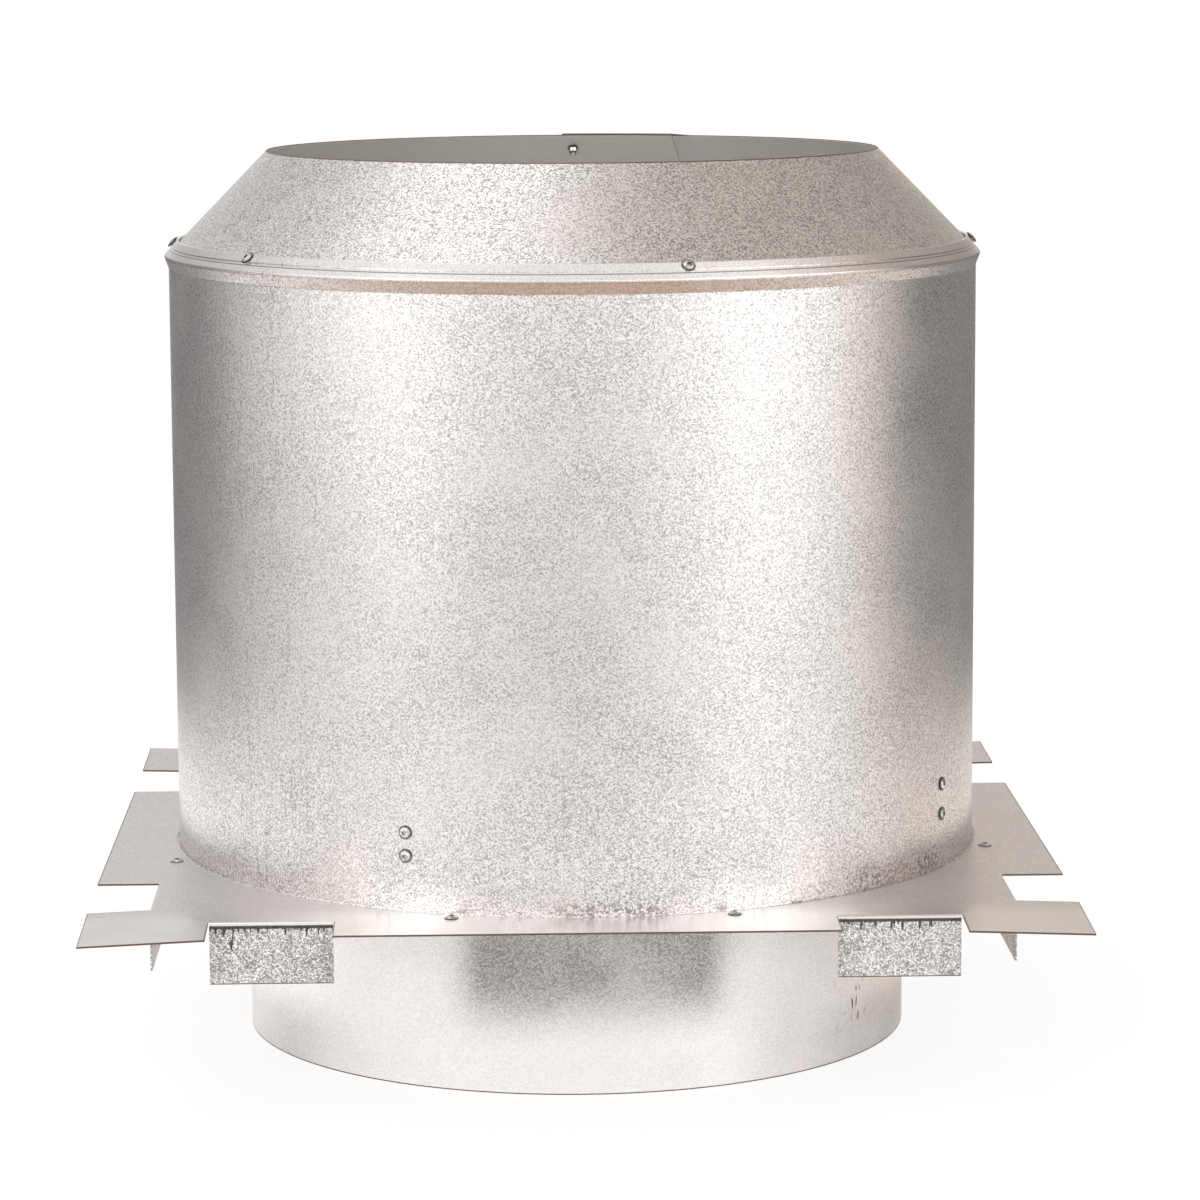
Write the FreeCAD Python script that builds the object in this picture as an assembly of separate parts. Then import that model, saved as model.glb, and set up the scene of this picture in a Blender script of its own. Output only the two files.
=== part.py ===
import FreeCAD, Part
import math
import os

# Ceiling and attic shield for an insulated chimney pipe, folded and rolled from galvanised sheet.
# A square plate with eight folded tabs carries a round drum with a conical top. A narrower sleeve
# stands in the drum's foot on four spacer brackets and reaches down through the ceiling.
# Millimetres, +Z up. The drum's axis is Z, the front is -Y, and the sleeve's lower rim is at Z = 0.
# Azimuths are degrees from +X towards +Y, so the front is at -90.

# Sheet and fits
SHEET = 0.7
LAP_GAP = 0.1
SEAT_GAP = 0.04

# Base plate and its tabs
PLATE_SIDE = 406.4
FOLD_SQUARE = 355.6
TAB_WIDTH = 50.8
TAB_HEIGHT = 25.4
TAB_OFFSET = 127.0
TAB_SHEAR_GAP = 0.4
TAB_BEND_RADIUS = 0.8
PLATE_HOLE_CLEARANCE = 0.4
CORNER_SAG_DEG = {(-1, -1): -3.6, (1, -1): -2.9, (1, 1): 1.1, (-1, 1): 1.9}

# Drum, from the plate's top face upwards
DRUM_DIAMETER = 350.0
SHOULDER_HEIGHT = 257.2
FOOT_BEND_RADIUS = 1.2
FLANGE_MARGIN = 6.0
FLARE_DEG = 21.0
FLARE_HEIGHT = 5.2
FLARE_BEND_RADIUS = 1.5
SHOULDER_BEND_RADIUS = 1.4
LIP_WIDTH = 8.4
HEM_WIDTH = 4.4
HEM_GAP = 0.2

# Cone
CONE_DEG = 45.7
TOP_OPENING = 263.5

# Sleeve
SLEEVE_DIAMETER = 289.0
SLEEVE_DROP = 82.0
SLEEVE_RISE = 70.4

# Lap seams: the azimuth where the outer layer steps up, the way it laps from there (1 is towards larger
# azimuths), and the overlap and step in millimetres
SEAM_SLIT = 0.4
SEAM_STEP = 9.0
CONE_SEAM_AZIMUTH = 68.4
CONE_SEAM_WAY = 1
CONE_SEAM_OVERLAP = 51.4
DRUM_SEAM_AZIMUTH = 118.0
DRUM_SEAM_WAY = -1
DRUM_SEAM_OVERLAP = 24.0
DRUM_SEAM_END_GAP = 1.5
SLEEVE_SEAM_AZIMUTH = 104.0
SLEEVE_SEAM_WAY = -1
SLEEVE_SEAM_OVERLAP = 22.0

# Spacer brackets between drum and sleeve: the azimuth of each, and the pitch of its two rivets
BRACKETS = ((-114.6, 9.7), (-28.6, 12.9), (62.0, 11.4), (152.0, 11.4))
BRACKET_WIDTH = 25.4
BRACKET_HEIGHT = 28.0
BRACKET_BASE = 15.0
BRACKET_BEND_RADIUS = 0.8
BRACKET_CLEARANCE = 0.2
BRACKET_RIVET_HEIGHT = 22.9

# Blind rivets
RIVET_DIAMETER = 3.2
RIVET_HOLE_CLEARANCE = 0.1
RIVET_HEAD_DIAMETER = 5.7
RIVET_HEAD_HEIGHT = 1.3
RIVET_HEAD_EDGE = 0.35
RIVET_TAIL_DIAMETER = 4.7
RIVET_TAIL_LENGTH = 2.6
RIVET_TAIL_SHOULDER = 1.2
MANDREL_DIAMETER = 1.8
MANDREL_CLEARANCE = 0.02
MANDREL_RECESS = 0.5
MANDREL_HEAD_DIAMETER = 2.9
MANDREL_HEAD_EDGE = 0.5
MANDREL_HEAD_HEIGHT = 1.0
PLATE_RIVET_MARGIN = 5.4
PLATE_RIVET_AZIMUTHS = (-162.0, -107.4, -70.6, -13.2, 29.0, 71.0, 113.0, 155.5)
SHOULDER_RIVET_AZIMUTHS = (-178.0, -141.6, -75.8, -4.0, 52.0, 112.0)
SEAM_RIVET_EDGE = 5.0
CONE_SEAM_RIVET_ENDS = (8.5, 12.0)
DRUM_SEAM_RIVETS = 5
DRUM_SEAM_RIVET_END = 18.0
SLEEVE_SEAM_RIVETS = 3
SLEEVE_SEAM_RIVET_END = 16.0

# Heights and radii that follow from the driving dimensions
PLATE_TOP = SLEEVE_DROP
PLATE_UNDERSIDE = PLATE_TOP - SHEET
DRUM_RADIUS = DRUM_DIAMETER / 2
DRUM_BORE_RADIUS = DRUM_RADIUS - SHEET
PLATE_HOLE_RADIUS = DRUM_RADIUS + FOOT_BEND_RADIUS + PLATE_HOLE_CLEARANCE
PLATE_RIVET_RADIUS = PLATE_HOLE_RADIUS + PLATE_RIVET_MARGIN
FLANGE_RADIUS = PLATE_RIVET_RADIUS + FLANGE_MARGIN
SLEEVE_RADIUS = SLEEVE_DIAMETER / 2
SLEEVE_BORE_RADIUS = SLEEVE_RADIUS - SHEET
SLEEVE_TOP = PLATE_TOP + SLEEVE_RISE
LAYER = SHEET + LAP_GAP
HEM_BEND_RADIUS = HEM_GAP / 2

ORIGIN = FreeCAD.Vector(0, 0, 0)
Z_AXIS = FreeCAD.Vector(0, 0, 1)

# Directions in the radius-height plane: up the cone, and square to it
UP_SLOPE = (-math.cos(math.radians(CONE_DEG)), math.sin(math.radians(CONE_DEG)))
OFF_SLOPE = (math.sin(math.radians(CONE_DEG)), math.cos(math.radians(CONE_DEG)))


def shifted(point, direction, distance):
    """Point of the radius-height plane moved along a direction."""
    return (point[0] + direction[0] * distance, point[1] + direction[1] * distance)


def unit(start, end):
    """Direction from one point of the radius-height plane to another."""
    length = math.hypot(end[0] - start[0], end[1] - start[1])
    return ((end[0] - start[0]) / length, (end[1] - start[1]) / length)


def left_of(direction):
    """Direction square to the left of a direction."""
    return (-direction[1], direction[0])


def space(point):
    """Point of the radius-height plane as a point in the XZ plane."""
    return FreeCAD.Vector(point[0], 0, point[1])


def arc(start, middle, end):
    """Arc through three points of the radius-height plane."""
    return Part.Arc(space(start), space(middle), space(end)).toShape()


def chain(stations):
    """Edges along one face of the sheet: straight runs between the bends' arcs."""
    edges = []
    for here, ahead in zip(stations, stations[1:]):
        if here["arc"]:
            edges.append(arc(*here["arc"]))
        if math.dist(here["leave"], ahead["enter"]) > 1e-6:
            edges.append(Part.makeLine(space(here["leave"]), space(ahead["enter"])))
    return edges


def sheet_section(points, radii, thickness=SHEET):
    """Face of a folded sheet's section.

    The points are the corners of one face of the sheet, and the sheet lies to the left of the way
    they run. Each inner corner has a bend radius, measured on that face.
    """
    near, far = [], []
    last = len(points) - 1
    for index, corner in enumerate(points):
        if index in (0, last):
            run = unit(points[0], points[1]) if index == 0 else unit(points[-2], points[-1])
            offset = shifted(corner, left_of(run), thickness)
            near.append({"enter": corner, "leave": corner, "arc": None})
            far.append({"enter": offset, "leave": offset, "arc": None})
            continue
        radius = radii[index - 1]
        before = unit(points[index - 1], corner)
        after = unit(corner, points[index + 1])
        turn = before[0] * after[1] - before[1] * after[0]
        side = 1 if turn > 0 else -1
        half_angle = math.acos(max(-1.0, min(1.0, before[0] * after[0] + before[1] * after[1]))) / 2
        reach = radius * math.tan(half_angle)
        start = shifted(corner, before, -reach)
        end = shifted(corner, after, reach)
        centre = shifted(start, left_of(before), side * radius)
        to_middle = unit(centre, corner)
        for stations, bend in ((near, radius), (far, radius - side * thickness)):
            enter = shifted(centre, unit(centre, start), bend)
            leave = shifted(centre, unit(centre, end), bend)
            stations.append({"enter": enter, "leave": leave,
                             "arc": (enter, shifted(centre, to_middle, bend), leave)})
    edges = chain(near) + chain(far)
    edges.append(Part.makeLine(space(near[0]["leave"]), space(far[0]["leave"])))
    edges.append(Part.makeLine(space(near[-1]["enter"]), space(far[-1]["enter"])))
    return Part.Face(Part.Wire(Part.__sortEdges__(edges)))


def swept(section, start_deg, sweep_deg):
    """Section turned about the axis, from an azimuth through a sweep of either sign."""
    placed = section.copy()
    placed.rotate(ORIGIN, Z_AXIS, min(start_deg, start_deg + sweep_deg))
    return placed.revolve(ORIGIN, Z_AXIS, abs(sweep_deg))


def at_azimuth(section, azimuth):
    """Outline of a section turned to an azimuth."""
    placed = section.copy()
    placed.rotate(ORIGIN, Z_AXIS, azimuth)
    return placed.OuterWire


def rolled(section, strip, lift, seam_azimuth, way, overlap, radius):
    """Ring of rolled sheet whose ends overlap along one lap seam.

    The strip is the stretch of the section that steps outwards by the lift and laps over the
    other end. The rest of the section meets end to end at a narrow slit.
    """
    step_deg = -way * math.degrees(SEAM_STEP / radius)
    slit_deg = -way * math.degrees(SEAM_SLIT / radius)
    lap_deg = way * math.degrees(overlap / radius)
    lifted = strip.copy()
    lifted.translate(FreeCAD.Vector(lift[0], 0, lift[1]))
    ring = swept(section, 0, 360)
    ring = ring.cut(swept(strip, seam_azimuth, step_deg))
    ring = ring.cut(swept(section, seam_azimuth, slit_deg))
    flap = swept(lifted, seam_azimuth, lap_deg)
    step_outlines = [at_azimuth(lifted, seam_azimuth), at_azimuth(strip, seam_azimuth + step_deg)]
    step = Part.makeLoft(step_outlines, True, True)
    return ring.fuse([flap, step]).removeSplitter()


def in_space(azimuth, point):
    """Place at an azimuth of a point in the radius-height plane."""
    angle = math.radians(azimuth)
    return FreeCAD.Vector(point[0] * math.cos(angle), point[0] * math.sin(angle), point[1])


def facing(azimuth, direction):
    """Direction in space of a direction in the radius-height plane."""
    return in_space(azimuth, direction)


def turned(points):
    """Solid of revolution about the Z axis from the corners of its section."""
    edges = [Part.makeLine(space(a), space(b)) for a, b in zip(points, points[1:])]
    return Part.Face(Part.Wire(edges)).revolve(ORIGIN, Z_AXIS, 360)


def dome_height(radius):
    """Height of a rivet's domed head above its seat, at a radius."""
    edge, rise = RIVET_HEAD_DIAMETER / 2, RIVET_HEAD_HEIGHT - RIVET_HEAD_EDGE
    dome_radius = (edge ** 2 + rise ** 2) / (2 * rise)
    return RIVET_HEAD_HEIGHT - dome_radius + math.sqrt(dome_radius ** 2 - radius ** 2)


def rivet_body(grip):
    """Set rivet on the Z axis: domed head above z = 0, tail bulged under the grip, bore for the mandrel."""
    head, tail, shank = RIVET_HEAD_DIAMETER / 2, RIVET_TAIL_DIAMETER / 2, RIVET_DIAMETER / 2
    bore, seat = MANDREL_DIAMETER / 2 + MANDREL_CLEARANCE, MANDREL_HEAD_DIAMETER / 2
    end = -grip - RIVET_TAIL_LENGTH
    points = [(head, RIVET_HEAD_EDGE), (head, 0), (shank, 0), (shank, -grip), (tail, -grip),
              (tail, end + RIVET_TAIL_SHOULDER), (seat, end), (bore, end), (bore, dome_height(bore))]
    edges = [Part.makeLine(space(a), space(b)) for a, b in zip(points, points[1:])]
    middle = (bore + head) / 2
    edges.append(arc(points[-1], (middle, dome_height(middle)), points[0]))
    return Part.Face(Part.Wire(edges)).revolve(ORIGIN, Z_AXIS, 360)


def mandrel(grip):
    """What stays of the pulled mandrel: its broken stub in the rivet's bore and its head on the tail."""
    stub, head, end = MANDREL_DIAMETER / 2, MANDREL_HEAD_DIAMETER / 2, -grip - RIVET_TAIL_LENGTH
    top = dome_height(stub) - MANDREL_RECESS
    return turned([(0, top), (stub, top), (stub, end), (head, end), (head, end - MANDREL_HEAD_EDGE),
                   (stub, end - MANDREL_HEAD_HEIGHT), (0, end - MANDREL_HEAD_HEIGHT), (0, top)])


def placed_at(places, piece):
    """Group of copies of a fastener: each place is the head's seat and the way the head faces."""
    copies = []
    for seat, way in places:
        fastener = piece.copy()
        fastener.Placement = FreeCAD.Placement(seat, FreeCAD.Rotation(Z_AXIS, way))
        copies.append(fastener)
    return Part.makeCompound(copies)


def drilled(sheet, places):
    """Sheet with a rivet hole at each place."""
    reach = 4 * LAYER
    radius = (RIVET_DIAMETER + RIVET_HOLE_CLEARANCE) / 2
    holes = [Part.makeCylinder(radius, 2 * reach, seat - way * reach, way) for seat, way in places]
    return sheet.cut(holes)


# Corners of the drum's outer face, in the radius-height plane
FLARE_START = (DRUM_RADIUS, PLATE_TOP + SHOULDER_HEIGHT - FLARE_HEIGHT)
SHOULDER = (DRUM_RADIUS + FLARE_HEIGHT * math.tan(math.radians(FLARE_DEG)),
            PLATE_TOP + SHOULDER_HEIGHT)
SHOULDER_REACH = SHOULDER_BEND_RADIUS * math.tan(math.radians((FLARE_DEG + 90 - CONE_DEG) / 2))
LIP_START = shifted(SHOULDER, UP_SLOPE, SHOULDER_REACH)
LIP_FOLD = shifted(LIP_START, UP_SLOPE, LIP_WIDTH - SHEET - HEM_BEND_RADIUS)
HEM_FOLD = shifted(LIP_FOLD, OFF_SLOPE, HEM_GAP)
HEM_EDGE = shifted(HEM_FOLD, UP_SLOPE, -(HEM_WIDTH - SHEET - HEM_BEND_RADIUS))

# Corners of the cone's outer face: its lower edge lies under the lip, its upper one is the rim
CONE_FOOT = shifted(LIP_START, OFF_SLOPE, -LAYER)
RIM_RADIUS = TOP_OPENING / 2 + SHEET * OFF_SLOPE[0]
CONE_LENGTH = (CONE_FOOT[0] - RIM_RADIUS) / -UP_SLOPE[0]
RIM = shifted(CONE_FOOT, UP_SLOPE, CONE_LENGTH)

# Rivet places: seat of the head and the way it faces
PLATE_RIVETS = [(in_space(a, (PLATE_RIVET_RADIUS, PLATE_TOP)), Z_AXIS) for a in PLATE_RIVET_AZIMUTHS]

HEM_MIDDLE = shifted(shifted(HEM_FOLD, UP_SLOPE, -(HEM_WIDTH - SHEET - HEM_BEND_RADIUS) / 2),
                     OFF_SLOPE, SHEET)
SHOULDER_SEAT = shifted(HEM_MIDDLE, OFF_SLOPE, SEAT_GAP)
SHOULDER_RIVETS = [(in_space(a, SHOULDER_SEAT), facing(a, OFF_SLOPE)) for a in SHOULDER_RIVET_AZIMUTHS]
SHOULDER_GRIP = SHEET + HEM_GAP + LAYER + SHEET + 2 * SEAT_GAP

SEAM_GRIP = LAYER + SHEET + 2 * SEAT_GAP
BRACKET_GRIP = 2 * SHEET + BRACKET_CLEARANCE + 2 * SEAT_GAP
CONE_RIVET_AZIMUTH = CONE_SEAM_AZIMUTH \
    + CONE_SEAM_WAY * math.degrees((CONE_SEAM_OVERLAP - SEAM_RIVET_EDGE) / RIM_RADIUS)
CONE_SEAM_FACE = shifted(RIM, OFF_SLOPE, LAYER + SEAT_GAP)
CONE_FLAP_END = shifted(CONE_FOOT, UP_SLOPE, LIP_WIDTH + DRUM_SEAM_END_GAP)
CONE_FLAP_LENGTH = math.dist(CONE_FLAP_END, RIM)
CONE_RIVET_STATIONS = (CONE_SEAM_RIVET_ENDS[0], CONE_FLAP_LENGTH - CONE_SEAM_RIVET_ENDS[1])
CONE_SEAM_RIVETS = [(in_space(CONE_RIVET_AZIMUTH, shifted(CONE_SEAM_FACE, UP_SLOPE, -station)),
                     facing(CONE_RIVET_AZIMUTH, OFF_SLOPE)) for station in CONE_RIVET_STATIONS]

DRUM_FLAP_BOTTOM = PLATE_TOP + FOOT_BEND_RADIUS + DRUM_SEAM_END_GAP
DRUM_FLAP_TOP = FLARE_START[1] - FLARE_BEND_RADIUS * math.tan(math.radians(FLARE_DEG / 2)) \
    - DRUM_SEAM_END_GAP


def evenly(low, high, count, end):
    """Heights of a row of rivets, the outer ones a set distance inside the two ends."""
    pitch = (high - low - 2 * end) / (count - 1)
    return [low + end + pitch * index for index in range(count)]


def seam_rivets(azimuth, overlap, radius, seat_radius, out, heights):
    """Rivets along the middle of a straight lap seam, their heads facing out (1) or in (-1).

    The overlap is negative where the seam laps towards smaller azimuths.
    """
    middle = azimuth + math.degrees(overlap / 2 / radius)
    return [(in_space(middle, (seat_radius, height)), facing(middle, (out, 0))) for height in heights]


DRUM_SEAM_ROW = seam_rivets(DRUM_SEAM_AZIMUTH, DRUM_SEAM_WAY * DRUM_SEAM_OVERLAP, DRUM_RADIUS,
                            DRUM_RADIUS + LAYER + SEAT_GAP, 1,
                            evenly(DRUM_FLAP_BOTTOM, DRUM_FLAP_TOP, DRUM_SEAM_RIVETS, DRUM_SEAM_RIVET_END))
SLEEVE_SEAM_ROW = seam_rivets(SLEEVE_SEAM_AZIMUTH, SLEEVE_SEAM_WAY * SLEEVE_SEAM_OVERLAP, SLEEVE_RADIUS,
                              SLEEVE_BORE_RADIUS - SEAT_GAP, -1,
                              evenly(0, SLEEVE_TOP, SLEEVE_SEAM_RIVETS, SLEEVE_SEAM_RIVET_END))

SPACER_STATIONS = [(azimuth, PLATE_TOP + BRACKET_RIVET_HEIGHT + rise)
                   for azimuth, pitch in BRACKETS for rise in (0, pitch)]
SPACER_DRUM_RIVETS = [(in_space(a, (DRUM_RADIUS + SEAT_GAP, z)), facing(a, (1, 0)))
                      for a, z in SPACER_STATIONS]
SPACER_SLEEVE_RIVETS = [(in_space(a, (SLEEVE_BORE_RADIUS - SEAT_GAP, z)), facing(a, (-1, 0)))
                        for a, z in SPACER_STATIONS]


def base_plate():
    """Square plate with a round hole, eight tabs folded down, and corners bent a little."""
    half = PLATE_SIDE / 2
    fold = FOLD_SQUARE / 2
    bend_start = fold - TAB_BEND_RADIUS - SHEET
    near, far = TAB_OFFSET - TAB_WIDTH / 2, TAB_OFFSET + TAB_WIDTH / 2
    plate = Part.makeBox(PLATE_SIDE, PLATE_SIDE, SHEET, FreeCAD.Vector(-half, -half, PLATE_UNDERSIDE))
    plate = plate.cut(Part.makeCylinder(PLATE_HOLE_RADIUS, SHEET, FreeCAD.Vector(0, 0, PLATE_UNDERSIDE)))

    tab_section = sheet_section([(fold, PLATE_TOP - TAB_HEIGHT), (fold, PLATE_TOP), (bend_start, PLATE_TOP)],
                                [TAB_BEND_RADIUS + SHEET])
    notches, tabs = [], []
    for side in range(4):
        for start in (near, -far):
            notch = Part.makeBox(half, TAB_WIDTH, SHEET, FreeCAD.Vector(bend_start, start, PLATE_UNDERSIDE))
            tab = tab_section.extrude(FreeCAD.Vector(0, TAB_WIDTH - 2 * TAB_SHEAR_GAP, 0))
            tab.translate(FreeCAD.Vector(0, start + TAB_SHEAR_GAP, 0))
            for shape, group in ((notch, notches), (tab, tabs)):
                shape.rotate(ORIGIN, Z_AXIS, 90 * side)
                group.append(shape)
    plate = plate.cut(notches)

    corners = []
    for (side_x, side_y), sag in CORNER_SAG_DEG.items():
        outline = [(far, bend_start), (far, half), (half, half), (half, far), (bend_start, far)]
        points = [FreeCAD.Vector(side_x * x, side_y * y, PLATE_UNDERSIDE) for x, y in outline]
        corner = Part.Face(Part.makePolygon(points + points[:1])).extrude(FreeCAD.Vector(0, 0, SHEET))
        plate = plate.cut(corner)
        pivot = FreeCAD.Vector(side_x * far, side_y * bend_start, PLATE_TOP if sag < 0 else PLATE_UNDERSIDE)
        corner.rotate(pivot, FreeCAD.Vector(side_x, -side_y, 0), side_x * side_y * sag)
        corners.append(corner)
    return drilled(plate.fuse(tabs + corners).removeSplitter(), PLATE_RIVETS)


def drum():
    """Drum: foot turned out under the plate, flared shoulder, lip turned in and hemmed outwards."""
    section = sheet_section(
        [(FLANGE_RADIUS, PLATE_UNDERSIDE), (DRUM_RADIUS, PLATE_UNDERSIDE), FLARE_START, SHOULDER,
         LIP_FOLD, HEM_FOLD, HEM_EDGE],
        [FOOT_BEND_RADIUS, FLARE_BEND_RADIUS, SHOULDER_BEND_RADIUS, HEM_BEND_RADIUS, HEM_BEND_RADIUS])
    strip = sheet_section([(DRUM_RADIUS, DRUM_FLAP_BOTTOM), (DRUM_RADIUS, DRUM_FLAP_TOP)], [])
    shell = rolled(section, strip, (LAYER, 0), DRUM_SEAM_AZIMUTH, DRUM_SEAM_WAY, DRUM_SEAM_OVERLAP,
                   DRUM_RADIUS)
    return drilled(shell, PLATE_RIVETS + SHOULDER_RIVETS + DRUM_SEAM_ROW + SPACER_DRUM_RIVETS)


def cone():
    """Conical top: a rolled band whose lower edge lies under the drum's lip."""
    section = sheet_section([CONE_FOOT, RIM], [])
    strip = sheet_section([CONE_FLAP_END, RIM], [])
    lift = (OFF_SLOPE[0] * LAYER, OFF_SLOPE[1] * LAYER)
    shell = rolled(section, strip, lift, CONE_SEAM_AZIMUTH, CONE_SEAM_WAY, CONE_SEAM_OVERLAP, RIM_RADIUS)
    return drilled(shell, SHOULDER_RIVETS + CONE_SEAM_RIVETS)


def sleeve():
    """Plain rolled sleeve with one lap seam."""
    section = sheet_section([(SLEEVE_RADIUS, 0), (SLEEVE_RADIUS, SLEEVE_TOP)], [])
    shell = rolled(section, section, (LAYER, 0), SLEEVE_SEAM_AZIMUTH, SLEEVE_SEAM_WAY, SLEEVE_SEAM_OVERLAP,
                   SLEEVE_RADIUS)
    return drilled(shell, SPACER_SLEEVE_RIVETS + SLEEVE_SEAM_ROW)


def bracket(azimuth):
    """Channel bracket: one foot on the drum's wall, the other on the sleeve's, both curved to fit."""
    inner, outer = SLEEVE_RADIUS + BRACKET_CLEARANCE, DRUM_BORE_RADIUS - BRACKET_CLEARANCE
    bottom = PLATE_TOP + BRACKET_BASE
    top = bottom + BRACKET_HEIGHT
    bend = BRACKET_BEND_RADIUS + SHEET
    section = sheet_section([(inner, top), (inner, bottom), (outer, bottom), (outer, top)], [bend, bend])
    half_sweep = math.degrees(BRACKET_WIDTH / inner)
    strip = Part.makeBox(outer, BRACKET_WIDTH, BRACKET_HEIGHT, FreeCAD.Vector(0, -BRACKET_WIDTH / 2, bottom))
    channel = swept(section, -half_sweep, 2 * half_sweep).common(strip)
    channel.rotate(ORIGIN, Z_AXIS, azimuth)
    return drilled(channel, SPACER_DRUM_RIVETS + SPACER_SLEEVE_RIVETS)


RIVET_ROWS = {
    "plate": (PLATE_RIVETS, 2 * SHEET),
    "shoulder": (SHOULDER_RIVETS, SHOULDER_GRIP),
    "cone_seam": (CONE_SEAM_RIVETS, SEAM_GRIP),
    "drum_seam": (DRUM_SEAM_ROW, SEAM_GRIP),
    "sleeve_seam": (SLEEVE_SEAM_ROW, SEAM_GRIP),
    "spacer_drum": (SPACER_DRUM_RIVETS, BRACKET_GRIP),
    "spacer_sleeve": (SPACER_SLEEVE_RIVETS, BRACKET_GRIP),
}

PIECES = {
    "base_plate": base_plate(),
    "shield_drum": drum(),
    "top_cone": cone(),
    "inner_sleeve": sleeve(),
}
for number, (azimuth, pitch) in enumerate(BRACKETS, 1):
    PIECES[f"spacer_bracket_{number}"] = bracket(azimuth)
for row, (places, grip) in RIVET_ROWS.items():
    PIECES[f"{row}_rivets"] = placed_at(places, rivet_body(grip))
    PIECES[f"{row}_rivet_mandrels"] = placed_at(places, mandrel(grip))

os.makedirs("parts", exist_ok=True)
for name, shape in PIECES.items():
    shape.exportStep(f"parts/{name}.step")
    print(name, "valid" if shape.isValid() else "NOT VALID", "solids", len(shape.Solids),
          "volume", round(shape.Volume, 1))
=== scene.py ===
import logging
import math
from dataclasses import dataclass
from enum import Enum
from typing import Any, Callable, Dict, Optional, Tuple, Union

import bmesh
import bpy
from mathutils import Matrix, Vector

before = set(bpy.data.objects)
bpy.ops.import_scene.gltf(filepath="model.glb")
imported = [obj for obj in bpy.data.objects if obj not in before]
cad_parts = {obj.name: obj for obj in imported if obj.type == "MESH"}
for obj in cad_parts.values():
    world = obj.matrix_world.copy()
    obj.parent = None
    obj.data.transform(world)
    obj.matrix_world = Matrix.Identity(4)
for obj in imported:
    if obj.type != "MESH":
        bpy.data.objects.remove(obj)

LOG = logging.getLogger("chimney_shield")
Colour = Tuple[float, float, float]
Triple = Tuple[float, float, float]
MM = 0.001
DEGREES = 180.0 / math.pi

# Heights above the floor, in metres
PLATE_TOP = 82.0 * MM
FLARE_FOOT = PLATE_TOP + 252.0 * MM
SHOULDER = PLATE_TOP + 257.0 * MM
RIM_HEIGHT = PLATE_TOP + 301.8 * MM

# Distances from the plate's middle, in metres: its edge, the tabs' folds, and both ends of a notch along the edge
PLATE_HALF = 203.2 * MM
FOLD_HALF = 177.8 * MM
NOTCH = (101.6 * MM, 152.4 * MM)

# The cone's slope in radians, and the front's azimuth about the drum's axis in degrees
CONE_SLOPE = math.radians(45.7)
FRONT = -90.0


class Wear(Enum):
    """How much handling a sheet shows."""

    LIGHT = 0.35
    HANDLED = 0.7
    SCUFFED = 1.0


class Output:
    """A node's output that takes part in shader arithmetic."""

    def __init__(self, maker: "Nodes", socket: bpy.types.NodeSocket) -> None:
        """Wrap a socket, with the node tree that new Math nodes go into."""
        self.maker = maker
        self.socket = socket

    def other(self, name: str) -> "Output":
        """Return another output of the same node."""
        return Output(self.maker, self.socket.node.outputs[name])

    def _math(self, operation: str, first: Any, second: Any = None, clamp: bool = False) -> "Output":
        """Add a Math node for one or two values and return its output."""
        values = {0: first} if second is None else {0: first, 1: second}
        return self.maker.add("ShaderNodeMath", {"operation": operation, "use_clamp": clamp}, values)

    def __add__(self, other: Any) -> "Output":
        """Return the sum."""
        return self._math("ADD", self, other)

    def __radd__(self, other: Any) -> "Output":
        """Return the sum."""
        return self._math("ADD", other, self)

    def __sub__(self, other: Any) -> "Output":
        """Return the difference."""
        return self._math("SUBTRACT", self, other)

    def __rsub__(self, other: Any) -> "Output":
        """Return the difference."""
        return self._math("SUBTRACT", other, self)

    def __mul__(self, other: Any) -> "Output":
        """Return the product."""
        return self._math("MULTIPLY", self, other)

    def __rmul__(self, other: Any) -> "Output":
        """Return the product."""
        return self._math("MULTIPLY", other, self)

    def __truediv__(self, other: Any) -> "Output":
        """Return the quotient."""
        return self._math("DIVIDE", self, other)

    def __rtruediv__(self, other: Any) -> "Output":
        """Return the quotient."""
        return self._math("DIVIDE", other, self)

    def __pow__(self, other: Any) -> "Output":
        """Return the power."""
        return self._math("POWER", self, other)

    def __gt__(self, other: Any) -> "Output":
        """Return 1 where this is the greater, and 0 elsewhere."""
        return self._math("GREATER_THAN", self, other)

    def __lt__(self, other: Any) -> "Output":
        """Return 1 where this is the smaller, and 0 elsewhere."""
        return self._math("LESS_THAN", self, other)

    def __abs__(self) -> "Output":
        """Return the absolute value."""
        return self._math("ABSOLUTE", self)

    def larger(self, other: Any) -> "Output":
        """Return the larger of two values."""
        return self._math("MAXIMUM", self, other)

    def smaller(self, other: Any) -> "Output":
        """Return the smaller of two values."""
        return self._math("MINIMUM", self, other)

    def clamped(self) -> "Output":
        """Return the value held between 0 and 1."""
        return self._math("ADD", self, 0.0, clamp=True)

    def ramp(self, low: float, high: float) -> "Output":
        """Return a smooth step from 0 at low to 1 at high, or the other way where low is above high.

        Args:
            low: The value that gives 0.
            high: The value that gives 1.

        Returns:
            The step.
        """
        rising = low < high
        ends = (low, high) if rising else (high, low)
        step = self.maker.add("ShaderNodeMapRange", {"interpolation_type": "SMOOTHSTEP"},
                              {"Value": self, "From Min": ends[0], "From Max": ends[1]})
        return step if rising else 1.0 - step

    def near(self, centre: float, half_width: float) -> "Output":
        """Return a soft bump, 1 at the centre and 0 from half a width away."""
        return abs(self - centre).ramp(half_width, 0.0)


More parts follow.
